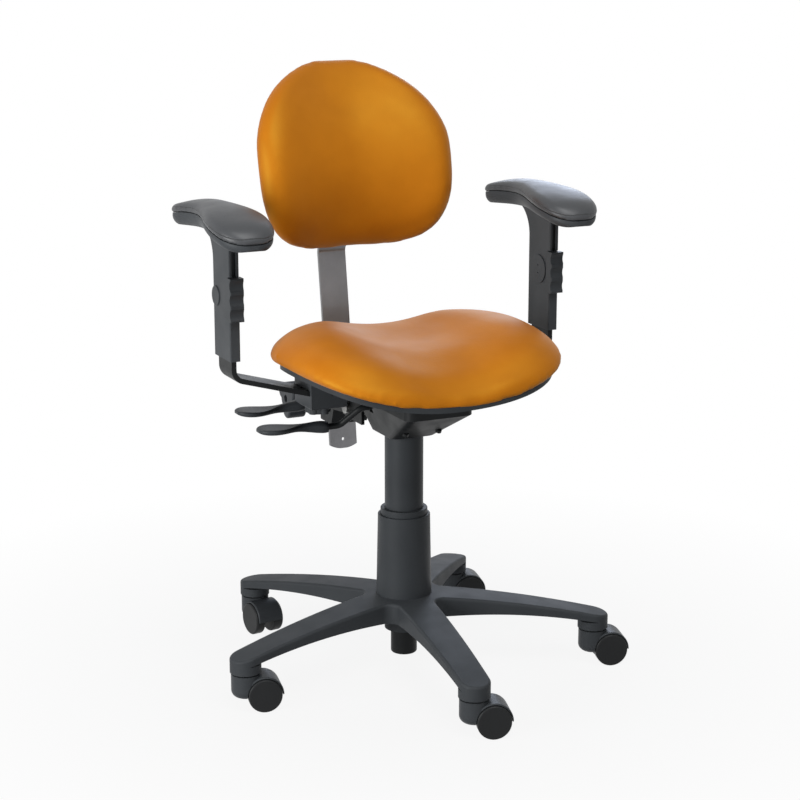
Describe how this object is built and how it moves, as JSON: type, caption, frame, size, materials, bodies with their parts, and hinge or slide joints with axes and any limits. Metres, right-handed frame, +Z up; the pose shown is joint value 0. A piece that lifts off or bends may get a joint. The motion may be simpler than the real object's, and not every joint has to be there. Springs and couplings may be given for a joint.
{
  "type": "saddle chair",
  "caption": "Swivel work chair with a saddle seat, round backrest on a bent bar, adjustable armrests, gas column and a five-arm base on casters.",
  "frame": {"origin": "point on the floor under the middle of the column", "axes": "+Z up the column, -Y towards the front of the seat, +X to the sitter's left"},
  "size_m": [0.6281, 0.5987, 0.9008],
  "materials": {
    "base_plastic": "moulded nylon, fine texture",
    "cover_plastic": "moulded, smooth",
    "caster_plastic": "moulded nylon",
    "wheel_plastic": "moulded nylon tread",
    "upholstery": "grained vinyl over foam",
    "shell_plastic": "moulded, textured",
    "ply_board": "bare ply",
    "arm_foam": "self-skinning foam, fine grain",
    "arm_plastic": "moulded, textured",
    "back_steel": "flat grey powder coat",
    "arm_steel": "black powder coat",
    "mechanism_steel": "black powder coat",
    "bright_steel": "turned, oiled"
  },
  "bodies": {
    "base": {"base_star": "base_plastic", "caster_stems": "bright_steel", "stand_tube": "bright_steel", "retaining_clip": "bright_steel", "thrust_bearing": "bright_steel", "lower_cover": "cover_plastic"},
    "piston": {"piston_rod": "bright_steel"},
    "seat": {"gas_cylinder": "bright_steel", "upper_cover": "cover_plastic", "mechanism_housing": "mechanism_steel", "pivot_bolt": "bright_steel", "lever_pins": "bright_steel", "seat_plate": "mechanism_steel", "seat_bolts": "bright_steel", "seat_shell": "shell_plastic", "seat_board": "ply_board", "seat_cushion": "upholstery", "arm_mount_right": "arm_plastic", "arm_mount_left": "arm_plastic"},
    "middle_cover": {"middle_cover": "cover_plastic"},
    "height_lever": {"height_lever": "mechanism_steel", "height_paddle": "shell_plastic"},
    "tilt_lever": {"tilt_lever": "mechanism_steel", "tilt_paddle": "shell_plastic"},
    "back_carrier": {"back_carrier": "mechanism_steel"},
    "back_knob": {"back_knob": "shell_plastic"},
    "back": {"back_bar": "back_steel", "back_bolts": "bright_steel", "back_shell": "shell_plastic", "back_cushion": "upholstery"},
    "caster_front_left": {"caster_hood_front_left": "caster_plastic"},
    "wheel_inner_front_left": {"caster_wheel_inner_front_left": "wheel_plastic"},
    "wheel_outer_front_left": {"caster_wheel_outer_front_left": "wheel_plastic"},
    "caster_front_right": {"caster_hood_front_right": "caster_plastic"},
    "wheel_inner_front_right": {"caster_wheel_inner_front_right": "wheel_plastic"},
    "wheel_outer_front_right": {"caster_wheel_outer_front_right": "wheel_plastic"},
    "caster_right": {"caster_hood_right": "caster_plastic"},
    "wheel_inner_right": {"caster_wheel_inner_right": "wheel_plastic"},
    "wheel_outer_right": {"caster_wheel_outer_right": "wheel_plastic"},
    "caster_back": {"caster_hood_back": "caster_plastic"},
    "wheel_inner_back": {"caster_wheel_inner_back": "wheel_plastic"},
    "wheel_outer_back": {"caster_wheel_outer_back": "wheel_plastic"},
    "caster_left": {"caster_hood_left": "caster_plastic"},
    "wheel_inner_left": {"caster_wheel_inner_left": "wheel_plastic"},
    "wheel_outer_left": {"caster_wheel_outer_left": "wheel_plastic"},
    "arm_right": {"arm_bracket_right": "arm_steel"},
    "arm_top_right": {"arm_sleeve_right": "arm_plastic", "latch_cap_right": "arm_plastic", "pad_base_right": "arm_plastic", "arm_pad_right": "arm_foam"},
    "trigger_right": {"arm_trigger_right": "arm_plastic"},
    "clamp_knob_right": {"clamp_knob_right": "arm_plastic"},
    "arm_left": {"arm_bracket_left": "arm_steel"},
    "arm_top_left": {"arm_sleeve_left": "arm_plastic", "latch_cap_left": "arm_plastic", "pad_base_left": "arm_plastic", "arm_pad_left": "arm_foam"},
    "trigger_left": {"arm_trigger_left": "arm_plastic"},
    "clamp_knob_left": {"clamp_knob_left": "arm_plastic"}
  },
  "joints": [
    {"name": "swivel", "type": "hinge", "parent": "base", "child": "piston", "pos_m": [0, 0, 0], "axis": [0, 0, 1], "continuous": true},
    {"name": "seat_height", "type": "slide", "parent": "piston", "child": "seat", "axis": [0, 0, 1], "range_m": [-0.095, 0.03]},
    {"name": "middle_cover_slide", "type": "slide", "parent": "base", "child": "middle_cover", "axis": [0, 0, 1], "range_m": [-0.0285, 0.009]},
    {"name": "caster_swivel_front_left", "type": "hinge", "parent": "base", "child": "caster_front_left", "pos_m": [-0.2834, -0.06153, 0.025], "axis": [0, 0, 1], "continuous": true},
    {"name": "wheel_spin_inner_front_left", "type": "hinge", "parent": "caster_front_left", "child": "wheel_inner_front_left", "pos_m": [-0.25891, -0.06658, 0.025], "axis": [0.2019, 0.9794, 0], "continuous": true},
    {"name": "wheel_spin_outer_front_left", "type": "hinge", "parent": "caster_front_left", "child": "wheel_outer_front_left", "pos_m": [-0.25891, -0.06658, 0.025], "axis": [0.2019, 0.9794, 0], "continuous": true},
    {"name": "caster_swivel_front_right", "type": "hinge", "parent": "base", "child": "caster_front_right", "pos_m": [-0.02906, -0.28854, 0.025], "axis": [0, 0, 1], "continuous": true},
    {"name": "wheel_spin_inner_front_right", "type": "hinge", "parent": "caster_front_right", "child": "wheel_inner_front_right", "pos_m": [-0.0051, -0.2957, 0.025], "axis": [0.2865, 0.9581, 0], "continuous": true},
    {"name": "wheel_spin_outer_front_right", "type": "hinge", "parent": "caster_front_right", "child": "wheel_outer_front_right", "pos_m": [-0.0051, -0.2957, 0.025], "axis": [0.2865, 0.9581, 0], "continuous": true},
    {"name": "caster_swivel_right", "type": "hinge", "parent": "base", "child": "caster_right", "pos_m": [0.26544, -0.1168, 0.025], "axis": [0, 0, 1], "continuous": true},
    {"name": "wheel_spin_inner_right", "type": "hinge", "parent": "caster_right", "child": "wheel_inner_right", "pos_m": [0.28951, -0.12354, 0.025], "axis": [0.2698, 0.9629, 0], "continuous": true},
    {"name": "wheel_spin_outer_right", "type": "hinge", "parent": "caster_right", "child": "wheel_outer_right", "pos_m": [0.28951, -0.12354, 0.025], "axis": [0.2698, 0.9629, 0], "continuous": true},
    {"name": "caster_swivel_back", "type": "hinge", "parent": "base", "child": "caster_back", "pos_m": [0.19311, 0.21636, 0.025], "axis": [0, 0, 1], "continuous": true},
    {"name": "wheel_spin_inner_back", "type": "hinge", "parent": "caster_back", "child": "wheel_inner_back", "pos_m": [0.2174, 0.21046, 0.025], "axis": [0.236, 0.9718, 0], "continuous": true},
    {"name": "wheel_spin_outer_back", "type": "hinge", "parent": "caster_back", "child": "wheel_outer_back", "pos_m": [0.2174, 0.21046, 0.025], "axis": [0.236, 0.9718, 0], "continuous": true},
    {"name": "caster_swivel_left", "type": "hinge", "parent": "base", "child": "caster_left", "pos_m": [-0.14609, 0.25051, 0.025], "axis": [0, 0, 1], "continuous": true},
    {"name": "wheel_spin_inner_left", "type": "hinge", "parent": "caster_left", "child": "wheel_inner_left", "pos_m": [-0.1429, 0.22572, 0.025], "axis": [0.9918, 0.1279, 0], "continuous": true},
    {"name": "wheel_spin_outer_left", "type": "hinge", "parent": "caster_left", "child": "wheel_outer_left", "pos_m": [-0.1429, 0.22572, 0.025], "axis": [0.9918, 0.1279, 0], "continuous": true},
    {"name": "height_lever_hinge", "type": "hinge", "parent": "seat", "child": "height_lever", "pos_m": [-0.034, 0.01, 0.4105], "axis": [0, 1, 0], "range_deg": [0, 5], "stiffness_Nm_per_rad": 12, "springref_deg": -3.44},
    {"name": "tilt_lever_hinge", "type": "hinge", "parent": "seat", "child": "tilt_lever", "pos_m": [-0.053, 0.1, 0.4075], "axis": [0, 1, 0], "range_deg": [0, 6]},
    {"name": "back_tilt", "type": "hinge", "parent": "seat", "child": "back_carrier", "pos_m": [0, 0.11, 0.387], "axis": [-1, 0, 0], "range_deg": [-4, 14]},
    {"name": "back_height", "type": "slide", "parent": "back_carrier", "child": "back", "axis": [0, 0.1288, 0.9917], "range_m": [-0.05, 0.045]},
    {"name": "back_knob_turn", "type": "hinge", "parent": "back_carrier", "child": "back_knob", "pos_m": [-0.1, 0.221, 0.3815], "axis": [1, 0, 0], "range_deg": [-180, 180]},
    {"name": "arm_width_right", "type": "slide", "parent": "seat", "child": "arm_right", "axis": [-0.9627, 0, 0.2706], "range_m": [-0.025, 0.025]},
    {"name": "arm_height_right", "type": "slide", "parent": "arm_right", "child": "arm_top_right", "axis": [0, 0, 1], "range_m": [-0.01, 0.075]},
    {"name": "trigger_squeeze_right", "type": "slide", "parent": "arm_top_right", "child": "trigger_right", "axis": [0, 1, 0], "range_m": [0, 0.0035], "stiffness_N_per_m": 600, "springref_m": -0.003},
    {"name": "clamp_turn_right", "type": "hinge", "parent": "seat", "child": "clamp_knob_right", "pos_m": [-0.119, 0.047, 0.4125], "axis": [0, 0, 1], "range_deg": [-180, 180]},
    {"name": "arm_width_left", "type": "slide", "parent": "seat", "child": "arm_left", "axis": [0.9627, 0, 0.2706], "range_m": [-0.025, 0.025]},
    {"name": "arm_height_left", "type": "slide", "parent": "arm_left", "child": "arm_top_left", "axis": [0, 0, 1], "range_m": [-0.01, 0.075]},
    {"name": "trigger_squeeze_left", "type": "slide", "parent": "arm_top_left", "child": "trigger_left", "axis": [0, 1, 0], "range_m": [0, 0.0035], "stiffness_N_per_m": 600, "springref_m": -0.003},
    {"name": "clamp_turn_left", "type": "hinge", "parent": "seat", "child": "clamp_knob_left", "pos_m": [0.119, 0.047, 0.4125], "axis": [0, 0, 1], "range_deg": [-180, 180]}
  ],
  "couplings": [
    {"joint": "middle_cover_slide", "follows": "seat_height", "ratio": 0.3}
  ]
}
